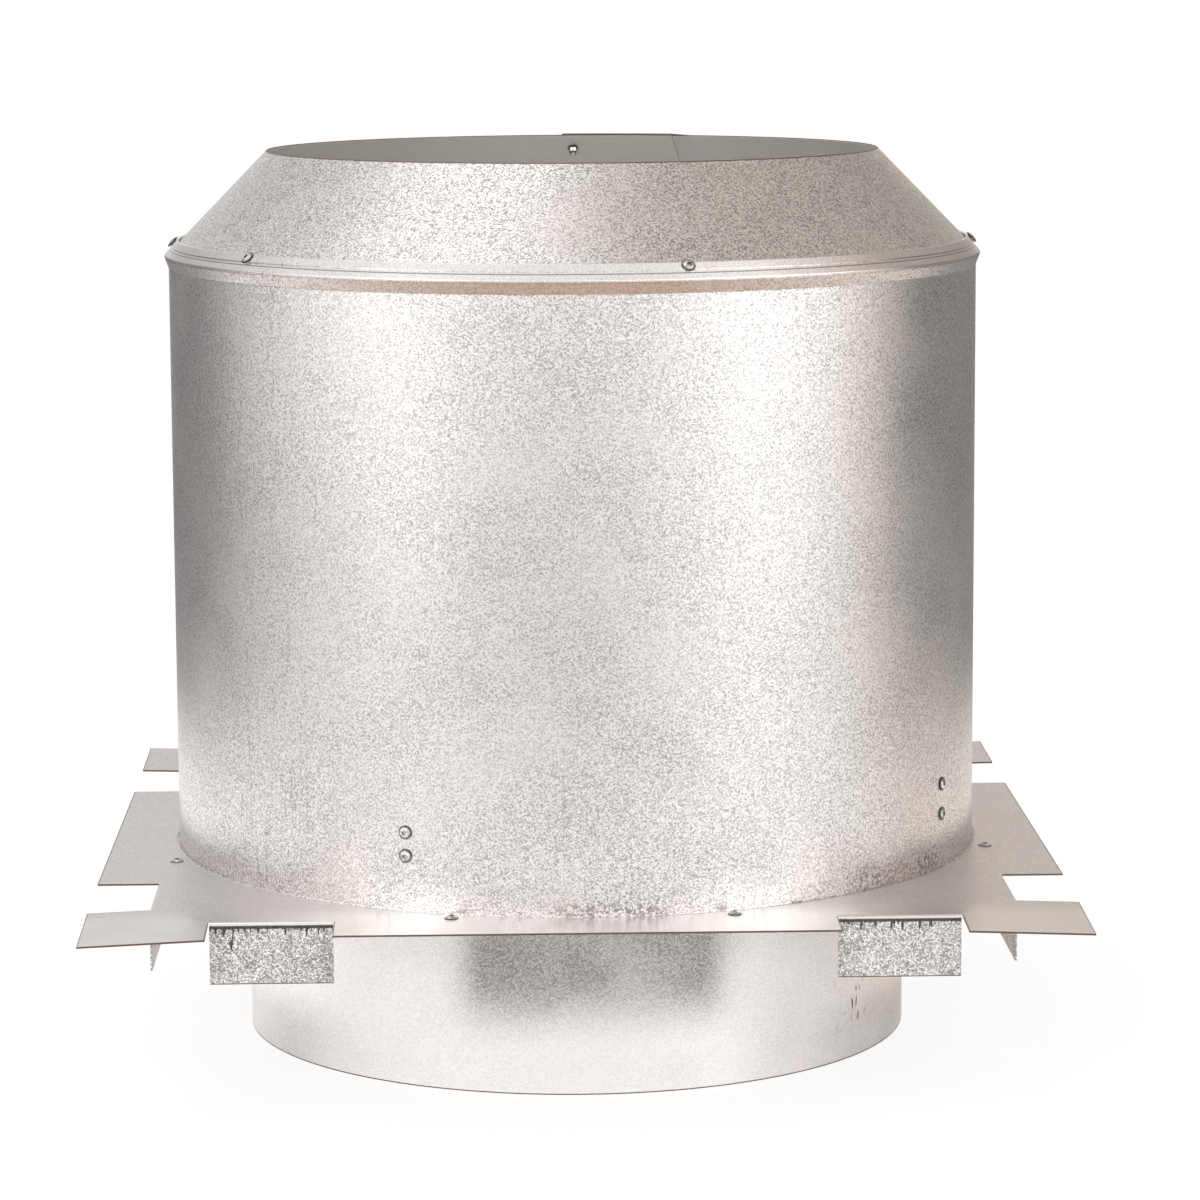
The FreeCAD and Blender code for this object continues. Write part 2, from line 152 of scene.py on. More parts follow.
class Nodes:
    """A node tree being built."""

    def __init__(self, tree: bpy.types.NodeTree) -> None:
        """Take a tree and empty it."""
        self.tree = tree
        tree.nodes.clear()

    def add(self, kind: str, settings: Optional[Dict[str, Any]] = None,
            inputs: Optional[Dict[Union[int, str], Any]] = None, out: Union[int, str] = 0) -> Output:
        """Add a node with its settings, then its values and links.

        Args:
            kind: The node's type.
            settings: Its properties.
            inputs: Values, or outputs to link, by socket.
            out: The output to return.

        Returns:
            The chosen output.
        """
        node = self.tree.nodes.new(kind)
        for key, value in (settings or {}).items():
            setattr(node, key, value)
        for key, value in (inputs or {}).items():
            if isinstance(value, Output):
                self.tree.links.new(value.socket, node.inputs[key])
            else:
                node.inputs[key].default_value = value
        return Output(self, node.outputs[out]) if node.outputs else Output(self, None)

    def place(self, kind: str = "Object") -> "Place":
        """Return coordinates.

        Args:
            kind: Object for a place on the object, Generated for a direction in the world.

        Returns:
            The coordinates, whole and split.
        """
        vector = self.add("ShaderNodeTexCoord", out=kind)
        split = self.add("ShaderNodeSeparateXYZ", {}, {0: vector})
        return Place(vector, split, split.other("Y"), split.other("Z"))

    def noise(self, vector: Output, scale: float, detail: float = 2.0, roughness: float = 0.5,
              stretch: Triple = (1.0, 1.0, 1.0)) -> Output:
        """Add a noise texture.

        Args:
            vector: Where it is read.
            scale: Waves to the metre.
            detail: Octaves.
            roughness: Weight of the finer octaves.
            stretch: Scale of each axis, small along a streak.

        Returns:
            The noise, about 0.5 on average.
        """
        if stretch != (1.0, 1.0, 1.0):
            vector = self.add("ShaderNodeMapping", {"vector_type": "POINT"},
                              {"Vector": vector, "Scale": stretch})
        return self.add("ShaderNodeTexNoise", {"noise_dimensions": "3D"},
                        {"Vector": vector, "Scale": scale, "Detail": detail, "Roughness": roughness})

    def cells(self, vector: Output, size: float) -> Output:
        """Return small crystals of a size in metres, each with a random value between 0 and 1."""
        crystals = self.add("ShaderNodeTexVoronoi", {"feature": "F1"}, {"Vector": vector, "Scale": 1.0 / size},
                            "Color")
        return self.add("ShaderNodeSeparateColor", {}, {0: crystals})

    def normal(self) -> Tuple[Output, Output, Output]:
        """Return the parts of the surface's normal."""
        split = self.add("ShaderNodeSeparateXYZ", {}, {0: self.add("ShaderNodeNewGeometry", out="Normal")})
        return split, split.other("Y"), split.other("Z")

    def mix(self, factor: Any, first: Any, second: Any) -> Output:
        """Return a mix of two colours or outputs, where the factor is the share of the second."""
        first, second = (colour if isinstance(colour, Output) else (*colour, 1.0) for colour in (first, second))
        return self.add("ShaderNodeMix", {"data_type": "RGBA"}, {0: factor, 6: first, 7: second}, 2)

    def bump(self, height: Output) -> Output:
        """Return the normal of a surface raised by a height in metres."""
        return self.add("ShaderNodeBump", {}, {"Height": height, "Distance": 1.0, "Strength": 1.0})


@dataclass(frozen=True)
class Place:
    """Object coordinates, whole and split."""

    vector: Output
    x: Output
    y: Output
    z: Output

    @property
    def radius(self) -> Output:
        """Distance from the drum's axis."""
        return (self.x * self.x + self.y * self.y) ** 0.5

    @property
    def azimuth(self) -> Output:
        """Angle about the drum's axis, in degrees from +X."""
        return self.x.maker.add("ShaderNodeMath", {"operation": "ARCTAN2"}, {0: self.y, 1: self.x}) * DEGREES


Mask = Callable[[Nodes, Place], Output]


@dataclass(frozen=True)
class Marks:
    """What differs from the plain sheet on one piece. All are masks between 0 and 1, but for stain_and_shade and
    relief.

    Attributes:
        stain_and_shade: How far the tone drops, for stains and scuffs, and for painted shade and painted dark
            reflections.
        shine_and_highlight: Smoother zinc, whose tone is also raised as a painted highlight.
        crazing: Coarser contrast between the crystals.
        scratch: Rolling scratches.
        shoulder_shade: Painted shade in brown under the drum's shoulder.
        back: The sheet's dull inner face.
        edge: Sheared edges and rust, and on the drum a painted shadow line under the hem.
        grime: Black dirt and cracks.
        relief: A height, in metres.
    """

    stain_and_shade: Optional[Mask] = None
    shine_and_highlight: Optional[Mask] = None
    crazing: Optional[Mask] = None
    scratch: Optional[Mask] = None
    shoulder_shade: Optional[Mask] = None
    back: Optional[Mask] = None
    edge: Optional[Mask] = None
    grime: Optional[Mask] = None
    relief: Optional[Mask] = None


@dataclass(frozen=True)
class Galvanised:
    """Hot-dip galvanised sheet: fine zinc crystals, rolling scratches, brown cut edges.

    Attributes:
        name: The material's name.
        light: Colour of the lightest crystals.
        dark: Colour of the darkest crystals.
        grain: The crystals' size, in metres.
        level: Tone of a middling crystal, 0 where dark and 1 where light.
        contrast: Spread of the crystals' tones.
        roughness: Roughness of the lightest zinc.
        wear: How strongly scratches show.
        patina: Colour of the faint warm clouds.
        brown: Colour of the painted shade under the drum's shoulder.
        inner: Colour of the inner face.
        cut: Colour of sheared edges, and of the painted shadow line under the drum's hem.
        dirt: Colour of grime.
        metal: How metallic the clean sheet is.
        cloud_waves: Waves to the metre of the clouds.
        scratch_waves: Waves to the metre across the scratches.
        scratch_stretch: Scale of each axis for the scratches, which run up the sheet.
        swell: Height of the clouds' relief, in metres.
    """

    name: str
    light: Colour = (0.97, 0.93, 0.915)
    dark: Colour = (0.34, 0.32, 0.305)
    grain: float = 0.52 * MM
    level: float = 0.68
    contrast: float = 1.2
    roughness: float = 0.30
    wear: Wear = Wear.HANDLED
    patina: Colour = (0.80, 0.72, 0.68)
    brown: Colour = (0.42, 0.25, 0.15)
    inner: Colour = (0.86, 0.845, 0.81)
    cut: Colour = (0.20, 0.125, 0.085)
    dirt: Colour = (0.04, 0.034, 0.03)
    metal: float = 0.92
    cloud_waves: float = 24.0
    scratch_waves: float = 620.0
    scratch_stretch: Triple = (1.0, 1.0, 0.05)
    swell: float = 0.05 * MM

    def material(self, marks: Marks = Marks()) -> bpy.types.Material:
        """Make the material.

        Args:
            marks: The piece's own marks.

        Returns:
            The material.
        """
        material = bpy.data.materials.new(self.name)
        material.use_nodes = True
        nodes = Nodes(material.node_tree)
        place = nodes.place()
        cloud = nodes.noise(place.vector, self.cloud_waves, 1.0, 0.6)

        contrast: Any = self.contrast
        if marks.crazing:
            contrast = marks.crazing(nodes, place) * 0.9 + contrast
        if marks.shine_and_highlight:
            shine_and_highlight = marks.shine_and_highlight(nodes, place)
            contrast = contrast * (1.0 - shine_and_highlight * 0.7)
        tone = self.level + (nodes.cells(place.vector, self.grain) - 0.5) * contrast + (cloud - 0.5) * 0.2
        # Where this mask is, the tone is raised: a painted highlight, beside the lower roughness of smoother zinc.
        if marks.shine_and_highlight:
            tone = tone + shine_and_highlight * 0.2
        if marks.scratch:
            streak = nodes.noise(place.vector, self.scratch_waves, 1.0, 0.5, self.scratch_stretch)
            line = streak.ramp(0.60, 0.74)
            tone = tone - line * marks.scratch(nodes, place) * self.wear.value
        # The tone drops for stains and scuffs, and for painted shade and painted dark reflections on the drum and
        # the sleeve.
        if marks.stain_and_shade:
            tone = tone - marks.stain_and_shade(nodes, place)
        tone = tone.clamped()
        colour = nodes.mix(tone, self.dark, self.light)
        colour = nodes.mix(cloud.ramp(0.45, 0.75) * 0.25, colour, self.patina)
        # Painted shade in brown, under the drum's shoulder.
        if marks.shoulder_shade:
            colour = nodes.mix(marks.shoulder_shade(nodes, place), colour, self.brown)
        rough = self.roughness + (1.0 - tone) * 0.10 + (cloud - 0.5) * 0.10
        if marks.shine_and_highlight:
            rough = rough - shine_and_highlight * 0.14
        metallic: Any = self.metal
        if marks.back:
            back = marks.back(nodes, place)
            colour = nodes.mix(back, colour, self.inner)
            rough = rough + back * 0.3
            metallic = metallic - back * 0.4
        # Sheared edges and rust; on the drum's hem this also paints the shadow under its cut edge.
        if marks.edge:
            cut = marks.edge(nodes, place)
            colour = nodes.mix(cut, colour, self.cut)
            metallic = metallic - cut * 0.5
        if marks.grime:
            black = marks.grime(nodes, place)
            colour = nodes.mix(black, colour, self.dirt)
            metallic = metallic - black * 0.5
        height = cloud * self.swell
        if marks.relief:
            height = height + marks.relief(nodes, place)
        nodes.add("ShaderNodeOutputMaterial", {}, {"Surface": nodes.add(
            "ShaderNodeBsdfPrincipled", {},
            {"Base Color": colour, "Metallic": metallic, "Roughness": rough.clamped(),
             "Normal": nodes.bump(height)})})
        return material


@dataclass(frozen=True)
class ZincPlated:
    """Small turned and pressed steel parts with a thin bright zinc coat, dark round their heads' rims, with grime
    and a painted contact shadow and dark reflection.
    """

    name: str
    light: Colour = (0.93, 0.93, 0.92)
    dark: Colour = (0.45, 0.44, 0.42)
    # Colour of the dark ring: grime, and painted contact shadow and dark reflection.
    grime: Colour = (0.035, 0.03, 0.028)
    roughness: float = 0.20

    def material(self, axis: Callable[[Place], Tuple[Any, Any, Any]], ring: float) -> bpy.types.Material:
        """Make the material.

        Args:
            axis: Gives the direction that the parts point in, at a place.
            ring: The dark ring of grime and painted shade begins where the surface leans so far from the axis, as
                a cosine.

        Returns:
            The material.
        """
        material = bpy.data.materials.new(self.name)
        material.use_nodes = True
        nodes = Nodes(material.node_tree)
        place = nodes.place()
        patch = nodes.noise(place.vector, 900.0, 1.0, 0.6)
        out = [part * way for part, way in zip(nodes.normal(), axis(place))]
        # The dark ring round each head: grime, with a painted contact shadow and a painted dark reflection.
        rim = abs(out[0] + out[1] + out[2]).ramp(ring, ring - 0.09)
        colour = nodes.mix(patch.ramp(0.35, 0.62), self.dark, self.light)
        colour = nodes.mix(rim * patch.ramp(0.25, 0.45), colour, self.grime)
        nodes.add("ShaderNodeOutputMaterial", {}, {"Surface": nodes.add(
            "ShaderNodeBsdfPrincipled", {},
            {"Base Color": colour, "Metallic": 0.95 - rim * 0.5, "Roughness": self.roughness + rim * 0.3})})
        return material


def dress(node: str, material: bpy.types.Material) -> None:
    """Give a node of the frame its material.

    Args:
        node: The node's name.
        material: The material for every slot.
    """
    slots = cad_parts[node].data.materials
    slots.clear()
    slots.append(material)
    LOG.info("dressed %s with %s", node, material.name)


@dataclass
class Plate:
    """Square plate with folded tabs.

    Attributes:
        burr: Width of the brown line along a sheared edge, in metres.
        tab_end: Height under which a tab's lower end is brown, in metres.
        crack: The long crack's x in metres, and its length in metres.
    """

    burr: float = 0.4 * MM
    tab_end: float = 57.0 * MM
    crack: Tuple[float, float] = (-143.0 * MM, 10.0 * MM)

    def edge(self, nodes: Nodes, place: Place) -> Output:
        """Mark the sheared edges: the outside, the notches and the tabs' lower ends.

        Args:
            nodes: The material's nodes, not used.
            place: Where the mask is read.

        Returns:
            The mask.
        """
        out = abs(place.x).larger(abs(place.y))
        along = abs(place.x).smaller(abs(place.y))
        side = out > (PLATE_HALF - self.burr)
        slit = (abs(along - NOTCH[0]) < self.burr).larger(abs(along - NOTCH[1]) < self.burr)
        return side.larger(slit * (out > (FOLD_HALF - self.burr))).larger(place.z < self.tab_end)

    def tab(self, place: Place) -> Output:
        """Return the mask of the folded tabs."""
        inner = abs(place.x).smaller(abs(place.y)) < (NOTCH[1] + 0.5 * MM)
        return inner * place.z.ramp(PLATE_TOP - 0.9 * MM, PLATE_TOP - 1.6 * MM)

    def stain_and_shade(self, nodes: Nodes, place: Place) -> Output:
        """Darken the tabs, most at their sides.

        Args:
            nodes: The material's nodes.
            place: Where the stain is read.

        Returns:
            How far the tone drops.
        """
        mottle = nodes.noise(place.vector, 260.0, 2.0, 0.6)
        along = abs(abs(place.x).smaller(abs(place.y)) - 0.5 * (NOTCH[0] + NOTCH[1]))
        return self.tab(place) * (0.38 + (0.55 - mottle) * 0.8 + along.ramp(14.0 * MM, 26.0 * MM) * 0.15)

    def crazing(self, nodes: Nodes, place: Place) -> Output:
        """Return the mask of the coarse crystals on the tabs."""
        return self.tab(place)

    def shine_and_highlight(self, nodes: Nodes, place: Place) -> Output:
        """Return the mask of the front strip, which gets a painted highlight."""
        return place.y.ramp(-150.0 * MM, -176.0 * MM) * (1.0 - self.tab(place))

    def grime(self, nodes: Nodes, place: Place) -> Output:
        """Mark the black line under the fold, the cracks that hang from it, and one long crack.

        Args:
            nodes: The material's nodes.
            place: Where the mask is read.

        Returns:
            The mask.
        """
        depth = (PLATE_TOP - 1.5 * MM - place.z) * (1.0 / MM)
        teeth = nodes.noise(place.vector, 800.0, 1.0, 0.5, (1.0, 1.0, 0.12)).ramp(0.45, 0.75) * 5.0
        fold = depth.ramp(1.3, 0.9).larger((teeth - depth).ramp(0.0, 0.5))
        bent = place.x + (nodes.noise(place.vector, 260.0, 1.0, 0.5) - 0.5) * (6.0 * MM)
        long = (abs(bent - self.crack[0]) < 0.4 * MM) * (depth < self.crack[1] / MM) * (place.y < 0.0)
        return self.tab(place) * fold.larger(long) * 0.9

    def build(self) -> None:
        """Dress the plate."""
        zinc = Galvanised("plate_zinc", dark=(0.26, 0.245, 0.235), level=0.86, contrast=0.4, roughness=0.42,
                          wear=Wear.LIGHT)
        dress("base_plate", zinc.material(Marks(stain_and_shade=self.stain_and_shade, shine_and_highlight=self.shine_and_highlight, crazing=self.crazing,
                                                edge=self.edge, grime=self.grime)))


@dataclass
class Drum:
    """Rolled drum with its flared shoulder and hemmed lip.

    Attributes:
        scuffs: Azimuth and half width in degrees, and height in metres, of each scuff along the foot.
        dark_reflection: Azimuth in degrees and height in metres of the painted dark reflection on the right side.
        scratched: Azimuths of the scratched zones on the left and low on the front, in degrees.
        lip_tilt: Rise of the lip's relief for each metre of height.
        hem: Height of the hem's cut edge above the shoulder, in metres.
    """

    scuffs: Tuple[Tuple[float, float, float], ...] = ((-40.0, 15.0, 9.0 * MM), (-87.0, 10.0, 5.0 * MM))
    dark_reflection: Tuple[float, float] = (-36.0, 238.0 * MM)
    scratched: Tuple[float, ...] = (-138.0, -84.0)
    lip_tilt: float = 0.5
    hem: float = 2.9 * MM

    def stain_and_shade(self, nodes: Nodes, place: Place) -> Output:
        """Darken broad patches at random, a painted dark reflection on the right side, and the scuffs along the
        foot.

        Args:
            nodes: The material's nodes.
            place: Where the stain is read.

        Returns:
            How far the tone drops.
        """
        broad = nodes.noise(place.vector, 11.0, 1.0, 0.5)
        # A painted dark reflection on the right side of the drum.
        dark_reflection = place.azimuth.near(self.dark_reflection[0], 20.0) * place.z.near(self.dark_reflection[1], 100.0 * MM)
        dark = broad.ramp(0.54, 0.66) * 0.06 + dark_reflection * broad.ramp(0.40, 0.55) * 0.25
        bite = nodes.noise(place.vector, 560.0, 1.0, 0.5).ramp(0.50, 0.56)
        for azimuth, width, height in self.scuffs:
            mark = place.azimuth.near(azimuth, width).ramp(0.0, 0.5)
            dark = dark + mark * place.z.near(PLATE_TOP + height * 0.5, height) * bite * 0.95
        return dark

    def scratch(self, nodes: Nodes, place: Place) -> Output:
        """Mark the scratched zones, low on the front and on the left.

        Args:
            nodes: The material's nodes, not used.
            place: Where the mask is read.

        Returns:
            The mask.
        """
        left, middle = (place.azimuth.near(azimuth, 20.0) for azimuth in self.scratched)
        low = place.z.ramp(PLATE_TOP + 130.0 * MM, PLATE_TOP + 20.0 * MM)
        return (left + middle * low).smaller(1.0) * 0.3

    def shoulder_shade(self, nodes: Nodes, place: Place) -> Output:
        """Return the mask of the painted brown shade under the shoulder, strongest at the front."""
        band = (place.z > FLARE_FOOT) * (place.z < SHOULDER)
        return band * (abs(place.azimuth - FRONT).ramp(62.0, 5.0) * 0.65 + 0.08)

    def shine_and_highlight(self, nodes: Nodes, place: Place) -> Output:
        """Return the mask of the smooth lip, which also gets a painted highlight."""
        return place.z > SHOULDER

    def relief(self, nodes: Nodes, place: Place) -> Output:
        """Return the height of the lip's rounded hem."""
        return (place.z - SHOULDER).larger(0.0) * self.lip_tilt

    def edge(self, nodes: Nodes, place: Place) -> Output:
        """Return the mask of the hem's cut edge, a thin dark line: the brown cut edge and a painted shadow under
        it.
        """
        return place.z.near(SHOULDER + self.hem, 0.35 * MM) * 0.8

    def build(self) -> None:
        """Dress the drum."""
        marks = Marks(stain_and_shade=self.stain_and_shade, scratch=self.scratch, shoulder_shade=self.shoulder_shade, shine_and_highlight=self.shine_and_highlight, relief=self.relief,
                      edge=self.edge)
        dress("shield_drum", Galvanised("drum_zinc", wear=Wear.SCUFFED).material(marks))


@dataclass
class Cone:
    """Conical top under the drum's lip."""

    def edge(self, nodes: Nodes, place: Place) -> Output:
        """Return the mask of the rim's cut edge."""
        return place.z > (RIM_HEIGHT - 0.3 * MM)

    def back(self, nodes: Nodes, place: Place) -> Output:
        """Return the mask of the cone's inner face."""
        along, across, _ = nodes.normal()
        return (along * place.x + across * place.y) < 0.0

    def build(self) -> None:
        """Dress the cone."""
        dress("top_cone", Galvanised("cone_zinc", contrast=1.6).material(Marks(edge=self.edge, back=self.back)))


@dataclass
class Sleeve:
    """Inner sleeve and the brackets that hold it."""

    brackets: Tuple[str, ...] = ("spacer_bracket_1", "spacer_bracket_2", "spacer_bracket_3", "spacer_bracket_4")

    def edge(self, nodes: Nodes, place: Place) -> Output:
        """Mark the lower rim's cut edge and small rust specks on the right.

        Args:
            nodes: The material's nodes.
            place: Where the mask is read.

        Returns:
            The mask.
        """
        speck = nodes.noise(place.vector, 330.0, 1.0, 0.5, (1.0, 1.0, 0.4)).ramp(0.62, 0.68)
        around = place.azimuth.near(-36.0, 8.0) * place.z.near(24.0 * MM, 20.0 * MM)
        return (place.z < 0.5 * MM).larger(speck * around)

    def patch(self, nodes: Nodes, place: Place) -> Output:
        """Return the mask of the painted shade under the plate's front edge."""
        return place.azimuth.near(-88.5, 30.0).ramp(0.0, 0.35) * place.z.ramp(17.0 * MM, 50.0 * MM)

    def crazing(self, nodes: Nodes, place: Place) -> Output:
        """Return the mask of the coarser grain in the patch."""
        return self.patch(nodes, place) * 0.25

    def stain_and_shade(self, nodes: Nodes, place: Place) -> Output:
        """Return the painted shade: how much darker the patch under the plate, the right side and the lower rim's
        sides are.
        """
        low = abs(place.azimuth - FRONT).ramp(34.0, 62.0) * place.z.ramp(34.0 * MM, 12.0 * MM)
        # All of this is painted shade.
        return self.patch(nodes, place) * 0.66 + low * 0.3 + place.azimuth.ramp(-68.0, -52.0) * 0.2

    def build(self) -> None:
        """Dress the sleeve and its brackets."""
        zinc = Galvanised("sleeve_zinc", dark=(0.22, 0.208, 0.20), level=0.86, contrast=0.22, roughness=0.34)
        dress("inner_sleeve", zinc.material(Marks(stain_and_shade=self.stain_and_shade, crazing=self.crazing, edge=self.edge)))
        zinc = Galvanised("bracket_zinc").material()
        for name in self.brackets:
            dress(name, zinc)


@dataclass(frozen=True)
class RivetRow:
    """One row of rivets: its name, the way it points, and how far in its dark ring begins."""

    name: str
    axis: Callable[[Place], Tuple[Any, Any, Any]]
    ring: float


@dataclass
class Rivets:
    """All blind rivets and what stays of their mandrels."""

    @staticmethod
    def upright(place: Place) -> Tuple[Any, Any, Any]:
        """Return the way that the plate's rivets point."""
        return 0.0, 0.0, 1.0

    @staticmethod
    def level(place: Place) -> Tuple[Any, Any, Any]:
        """Return the way that the walls' rivets point."""
        return place.x / place.radius, place.y / place.radius, 0.0

    @staticmethod
    def sloping(place: Place) -> Tuple[Any, Any, Any]:
        """Return the way that the cone's rivets point."""
        out = math.sin(CONE_SLOPE) / place.radius
        return place.x * out, place.y * out, math.cos(CONE_SLOPE)

    def build(self) -> None:
        """Dress every row of rivets."""
        rows = (RivetRow("plate", self.upright, 0.20), RivetRow("shoulder", self.sloping, 0.93),
                RivetRow("cone_seam", self.sloping, 0.40), RivetRow("drum_seam", self.level, 0.93),
                RivetRow("sleeve_seam", self.level, 0.93), RivetRow("spacer_drum", self.level, 0.93),
                RivetRow("spacer_sleeve", self.level, 0.93))
        for row in rows:
            zinc = ZincPlated(f"{row.name}_rivet_zinc").material(row.axis, row.ring)
            wire = ZincPlated(f"{row.name}_mandrel_wire", (0.62, 0.61, 0.60), (0.28, 0.27, 0.26), roughness=0.35)
            dress(f"{row.name}_rivets", zinc)
            dress(f"{row.name}_rivet_mandrels", wire.material(row.axis, row.ring))


@dataclass(frozen=True)
class SoftBox:
    """A lamp: its name, its place and its width and height in metres, and its power in watts."""

    name: str
    place: Triple
    size: Tuple[float, float]
    power: float


@dataclass
class Studio:
    """Floor, surroundings, light and camera.

    The camera sees plain white. Glossy and transmitted rays see another, toned studio, which was fitted to the
    photograph's reflections.

    Attributes:
        distance: The camera's distance in front, in metres.
        side: Its place to the right, in metres.
        height: Its height, in metres.
        turn: How far it is moved round the object, clockwise from above, in radians, as are the next three.
        pitch: Its tilt downwards.
        pan: Its turn to the left.
        roll: Its roll.
        lens: Its focal length in millimetres, as is the next.
        sensor: Its sensor's width.
        clip: Its nearest and farthest distance, in metres.
        floor_half: Half of the floor's side, in metres.
        floor_paint: The floor's albedo.
        fill: The world's strength for all rays but the camera's and the mirrored ones.
        wing: Brightness of the dark wings, as polished metal sees them.
        wall: What the lit part adds to it.
        boxes: What the left and the right soft box add at full strength.
        backdrop: What the part behind the object adds.
        lamps: The soft boxes that light the object.
        aim: The point that they face, in metres.
    """

    distance: float = 1903.8 * MM
    side: float = -2.9 * MM
    height: float = PLATE_TOP + 388.9 * MM
    turn: float = 0.0203
    pitch: float = 0.1488
    pan: float = -0.0074
    roll: float = -0.0053
    lens: float = 131.12
    sensor: float = 36.0
    clip: Tuple[float, float] = (0.05, 200.0)
    floor_half: float = 30.0
    floor_paint: float = 0.4
    fill: float = 0.55
    wing: float = 0.20
    wall: float = 0.66
    boxes: Tuple[float, float] = (0.22, 0.32)
    backdrop: float = 0.5
    lamps: Tuple[SoftBox, ...] = (SoftBox("left_box", (-1.6, -1.5, 0.9), (0.9, 1.6), 3.0),
                                  SoftBox("right_box", (1.65, -1.45, 0.9), (0.9, 1.6), 3.0),
                                  SoftBox("top_box", (-0.7, -0.2, 2.2), (1.4, 1.4), 3.5))
    aim: Triple = (0.0, 0.0, 0.22)

    def camera(self) -> None:
        """Place the camera where the photograph was taken from."""
        data = bpy.data.cameras.new("photo_camera")
        data.lens = self.lens
        data.sensor_width = self.sensor
        data.clip_start, data.clip_end = self.clip
        ahead = Vector((-math.sin(self.pan) * math.cos(self.pitch),
                        math.cos(self.pan) * math.cos(self.pitch), -math.sin(self.pitch)))
        right = Vector((math.cos(self.pan), math.sin(self.pan), 0.0))
        up = right.cross(ahead)
        rolled_right = right * math.cos(self.roll) + up * math.sin(self.roll)
        rolled_up = up * math.cos(self.roll) - right * math.sin(self.roll)
        axes = Matrix((rolled_right, rolled_up, -ahead)).transposed().to_4x4()
        place = Matrix.Translation((self.side, -self.distance, self.height)) @ axes
        camera = bpy.data.objects.new("photo_camera", data)
        camera.matrix_world = Matrix.Rotation(-self.turn, 4, "Z") @ place
        bpy.context.scene.collection.objects.link(camera)
        bpy.context.scene.camera = camera

    @staticmethod
    def bearing(nodes: Nodes, x: Output, y: Output) -> Output:
        """Return the bearing of a place or direction from the front, in degrees, right positive."""
        return nodes.add("ShaderNodeMath", {"operation": "ARCTAN2"}, {0: x, 1: -1.0 * y}) * DEGREES

    def horizon(self, bearing: Output, strength: Any) -> Output:
        """Return the brightness at eye level: two soft boxes, dark wings, and the part behind the object.

        Args:
            bearing: The bearing from the front, in degrees.
            strength: Strength of the soft boxes.

        Returns:
            The brightness that polished metal sees there.
        """
        lit = bearing.ramp(-128.0, -92.0) * bearing.ramp(110.0, 80.0)
        soft = bearing.near(-54.0, 46.0) * self.boxes[0] + bearing.near(52.0, 40.0) * self.boxes[1]
        return self.wing + lit * self.wall + soft * strength + abs(bearing).ramp(158.0, 172.0) * self.backdrop

    @staticmethod
    def seen(nodes: Nodes) -> Tuple[Output, Output]:
        """Tell the camera's rays from the mirrored ones.

        Args:
            nodes: The nodes of the floor or the world.

        Returns:
            The mask of camera rays, and that of glossy and transmitted rays.
        """
        camera = nodes.add("ShaderNodeLightPath", out="Is Camera Ray")
        mirrored = nodes.add("ShaderNodeLightPath", out="Is Glossy Ray").larger(
            nodes.add("ShaderNodeLightPath", out="Is Transmission Ray"))
        return camera, mirrored * (1.0 - camera)

    @staticmethod
    def warmth(nodes: Nodes, warm: Output) -> Output:
        """Return the colour of the surroundings, from white to the warm room on the right."""
        return nodes.mix(warm, (1.0, 1.0, 1.0), (1.0, 0.91, 0.82))

    def floor(self) -> None:
        """Lay a floor that is plain white with the object's shadow to the camera, and toned to polished metal."""
        mesh = bpy.data.meshes.new("studio_floor")
        shape = bmesh.new()
        bmesh.ops.create_grid(shape, x_segments=1, y_segments=1, size=self.floor_half)
        shape.to_mesh(mesh)
        shape.free()
        floor = bpy.data.objects.new("studio_floor", mesh)
        bpy.context.scene.collection.objects.link(floor)
        material = bpy.data.materials.new("floor_white")
        material.use_nodes = True
        nodes = Nodes(material.node_tree)
        place = nodes.place()
        bearing = self.bearing(nodes, place.x, place.y)
        camera, mirrored = self.seen(nodes)
        near = place.radius.ramp(1.35, 0.60)
        zone = place.radius.ramp(2.25, 1.30) * place.radius.ramp(0.78, 0.98)
        shade = zone * (bearing.ramp(30.0, -8.0) * 0.36 + 0.28)
        white = near * (bearing.ramp(-55.0, -95.0) * 0.25 + 1.05)
        sheen = self.horizon(bearing, 1.0) * (1.0 - near) + white - shade
        grey = self.floor_paint
        paint = nodes.add("ShaderNodeBsdfDiffuse", {}, {"Color": (grey, grey, grey, 1.0)})
        lit = grey * self.fill
        glow = nodes.add("ShaderNodeEmission", {}, {
            "Color": self.warmth(nodes, bearing.ramp(70.0, 90.0) * mirrored),
            "Strength": camera * (1.0 - lit) + mirrored * (sheen - lit).larger(0.0)})
        both = nodes.add("ShaderNodeAddShader", {}, {0: paint, 1: glow})
        nodes.add("ShaderNodeOutputMaterial", {}, {"Surface": both})
        mesh.materials.append(material)

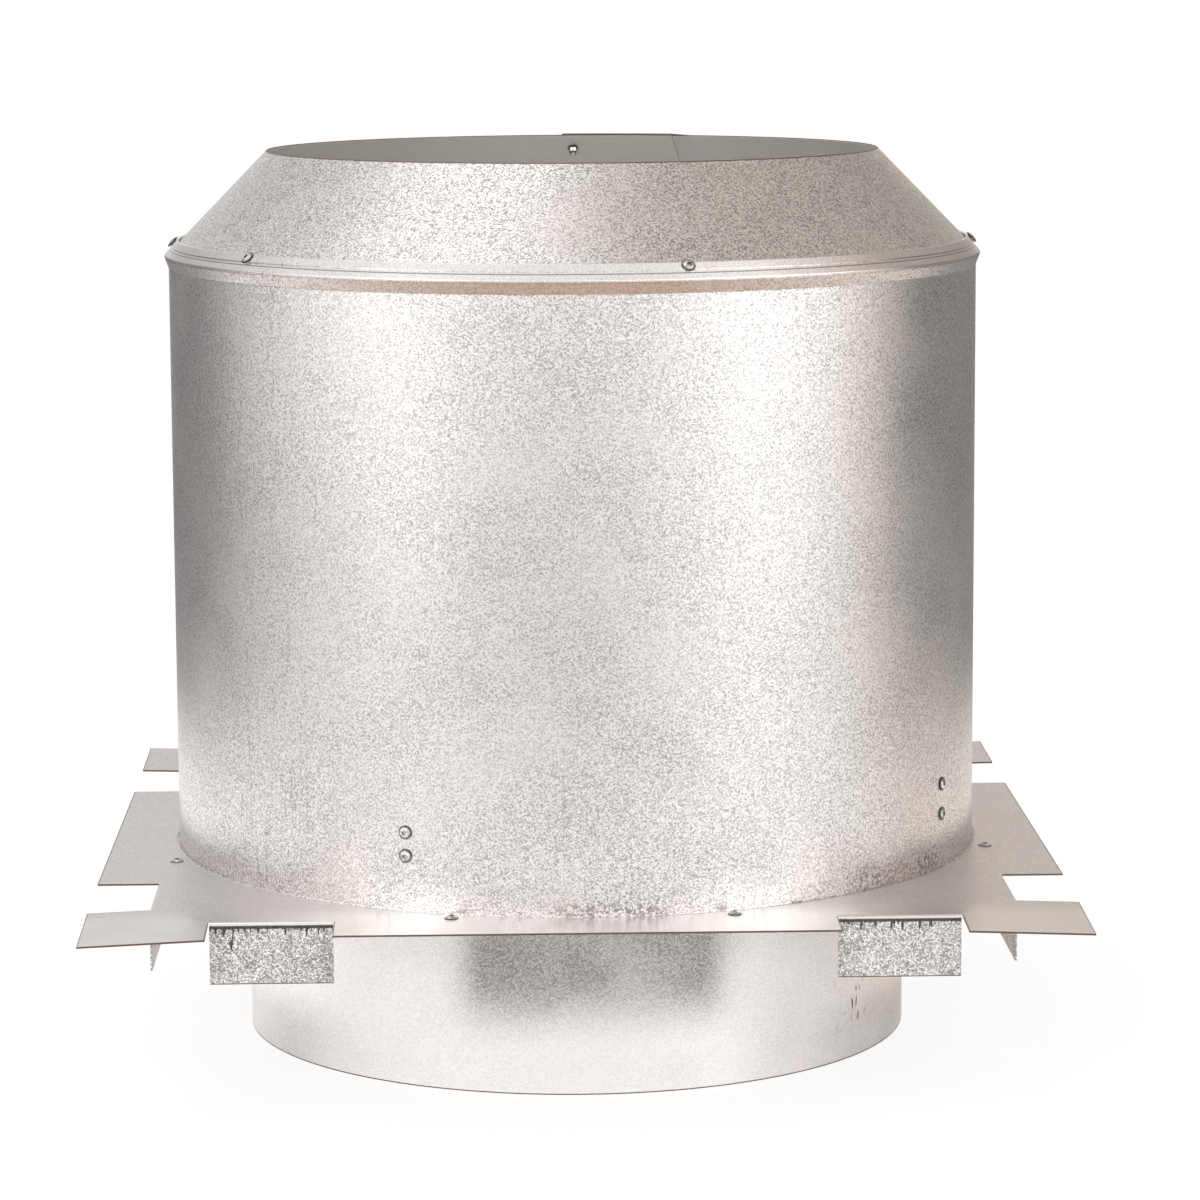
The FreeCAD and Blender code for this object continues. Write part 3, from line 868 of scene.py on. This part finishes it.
    def world(self) -> None:
        """Surround the object: plain white to the camera, and boxes, wings and a ceiling to polished metal."""
        world = bpy.data.worlds.new("studio_white")
        bpy.context.scene.world = world
        world.use_nodes = True
        nodes = Nodes(world.node_tree)
        way = nodes.place("Generated")
        bearing = self.bearing(nodes, way.x, way.y)
        camera, mirrored = self.seen(nodes)
        high = (way.z + way.y * 0.5).ramp(0.25, 0.75)
        ceiling = (0.54 + way.x.ramp(0.6, -0.45) * 0.34) * (1.0 - way.y.ramp(0.2, 0.9) * 0.3)
        screen = abs(bearing).ramp(145.0, 168.0) * way.z.ramp(0.5, 0.1) * 0.35
        low = way.z.ramp(0.25, 0.16)
        front = abs(bearing).ramp(110.0, 60.0) * (low * 0.85 + 0.08)
        level = self.horizon(bearing, low * 2.4 + 0.5) + front
        tone = level * (1.0 - high) + (ceiling + screen) * high
        strength = camera + mirrored * tone + (1.0 - camera.larger(mirrored)) * self.fill
        warm = bearing.ramp(70.0, 90.0).larger(way.x.ramp(0.0, 0.4) * high)
        nodes.add("ShaderNodeOutputWorld", {}, {"Surface": nodes.add(
            "ShaderNodeBackground", {}, {"Color": self.warmth(nodes, warm * mirrored), "Strength": strength})})

    def hang(self, box: SoftBox) -> None:
        """Hang a soft box that faces the object.

        Args:
            box: The lamp.
        """
        data = bpy.data.lights.new(box.name, "AREA")
        data.shape = "RECTANGLE"
        data.size, data.size_y = box.size
        data.energy = box.power
        lamp = bpy.data.objects.new(box.name, data)
        lamp.location = box.place
        ahead = Vector(self.aim) - Vector(box.place)
        lamp.rotation_euler = ahead.to_track_quat("-Z", "Y").to_euler()
        bpy.context.scene.collection.objects.link(lamp)

    def build(self) -> None:
        """Set up the whole studio."""
        self.camera()
        self.floor()
        self.world()
        for box in self.lamps:
            self.hang(box)
        bpy.context.scene.view_settings.view_transform = "Standard"


def main() -> None:
    """Build the scene."""
    logging.basicConfig(level=logging.INFO, format="%(message)s")
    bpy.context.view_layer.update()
    for assembly in (Plate(), Drum(), Cone(), Sleeve(), Rivets()):
        assembly.build()
        LOG.info("finished %s", type(assembly).__name__)
    Studio().build()


if __name__ == "__main__":
    main()
